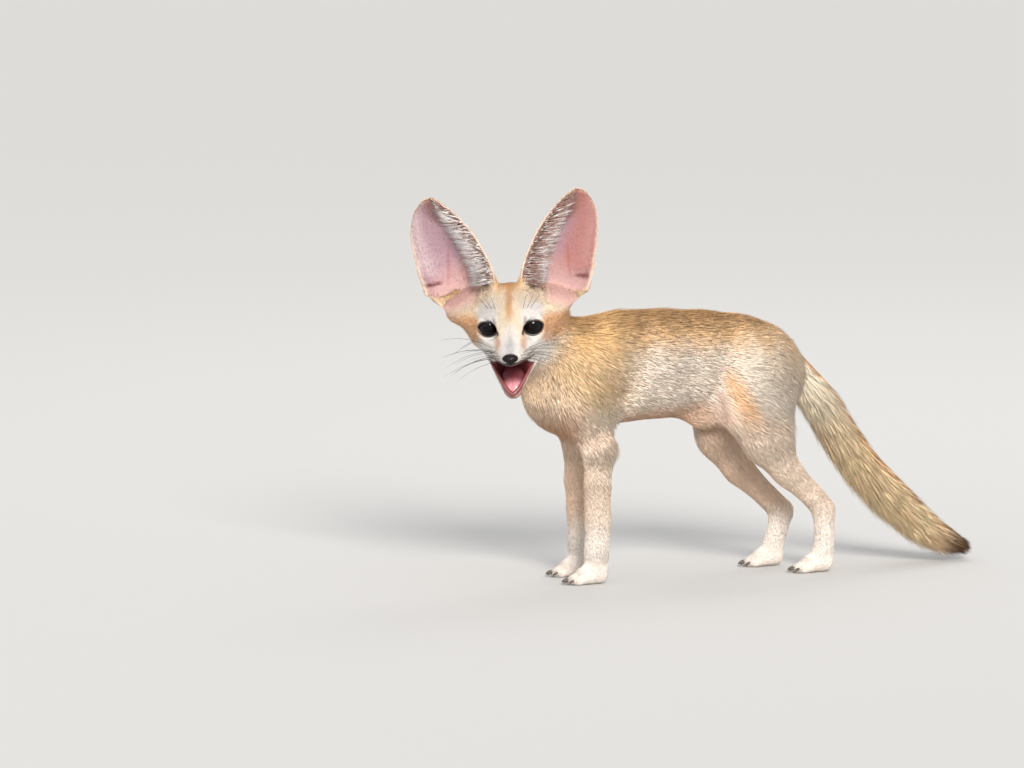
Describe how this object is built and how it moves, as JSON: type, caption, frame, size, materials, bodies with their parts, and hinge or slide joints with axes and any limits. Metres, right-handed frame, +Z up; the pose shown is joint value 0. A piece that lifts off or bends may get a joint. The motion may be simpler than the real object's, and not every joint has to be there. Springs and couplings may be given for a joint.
{
  "type": "fennec fox model",
  "caption": "Life-size fennec fox standing on four legs, head turned over its left shoulder, mouth open, large ears up, tail hanging low behind.",
  "frame": {"origin": "centre of the bottom of the model's box, on the floor under the body", "axes": "+X from the breast to the tail, -Y to the animal's own left, +Z up"},
  "size_m": [0.455, 0.1008, 0.3096],
  "materials": {
    "fur_body": "sandy fur, darker and ticked along the back",
    "fur_face": "short cream fur with a tan forehead",
    "fur_legs": "short cream fur",
    "fur_tail": "long tawny hair with a dark tip",
    "ear_skin": "thin pink skin edged with pale hair",
    "eye": "wet, nearly black",
    "nose": "black, moist",
    "tongue": "pink, moist",
    "claw": "dark horn"
  },
  "bodies": {
    "root": {"head": "fur_face", "jaw": "fur_face", "tongue": "tongue", "nose": "nose", "eye_left": "eye", "eye_right": "eye", "ear_left": "ear_skin", "ear_right": "ear_skin", "neck": "fur_body", "torso": "fur_body", "leg_front_left": "fur_legs", "leg_front_right": "fur_legs", "leg_hind_left": "fur_legs", "leg_hind_right": "fur_legs", "paw_front_left": "fur_legs", "paw_front_right": "fur_legs", "paw_hind_left": "fur_legs", "paw_hind_right": "fur_legs", "claw_front_left_1": "claw", "claw_front_left_2": "claw", "claw_front_left_3": "claw", "claw_front_left_4": "claw", "claw_front_right_1": "claw", "claw_front_right_2": "claw", "claw_front_right_3": "claw", "claw_front_right_4": "claw", "claw_hind_left_1": "claw", "claw_hind_left_2": "claw", "claw_hind_left_3": "claw", "claw_hind_left_4": "claw", "claw_hind_right_1": "claw", "claw_hind_right_2": "claw", "claw_hind_right_3": "claw", "claw_hind_right_4": "claw", "tail": "fur_tail"}
  },
  "joints": []
}
